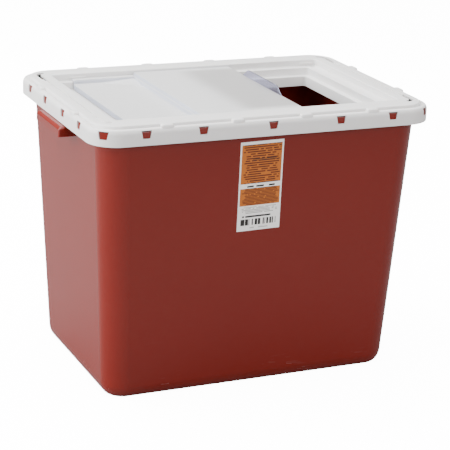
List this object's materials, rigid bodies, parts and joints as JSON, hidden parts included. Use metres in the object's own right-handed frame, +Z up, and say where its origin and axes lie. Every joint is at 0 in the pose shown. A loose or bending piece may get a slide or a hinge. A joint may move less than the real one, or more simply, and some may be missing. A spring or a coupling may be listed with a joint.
{
  "type": "sharps container",
  "caption": "Large sharps disposal container: tapered rectangular tub with grip ledges, press-fit lid with a raised ring, slide door over a chute, rim gasket and front label.",
  "frame": {"origin": "middle of the footprint, on the surface that the container stands on", "axes": "+X along the long side, towards the chute end; +Z up; the labelled front faces -Y"},
  "size_m": [0.455, 0.3006, 0.3542],
  "materials": {
    "red_polypropylene": "semi-gloss moulded polypropylene",
    "white_polypropylene": "satin moulded polypropylene",
    "frosted_polypropylene": "frosted, slightly see-through moulded polypropylene",
    "gasket_rubber": "closed-cell rubber",
    "label_film": "satin printed film"
  },
  "bodies": {
    "container": {"bin": "red_polypropylene", "lid_frame": "white_polypropylene", "rim_gasket": "gasket_rubber", "front_label": "label_film"},
    "door": {"slide_door": "frosted_polypropylene"}
  },
  "joints": [
    {"name": "door_slide", "type": "slide", "parent": "container", "child": "door", "axis": [1, 0, 0], "range_m": [-0.025, 0.126]}
  ]
}
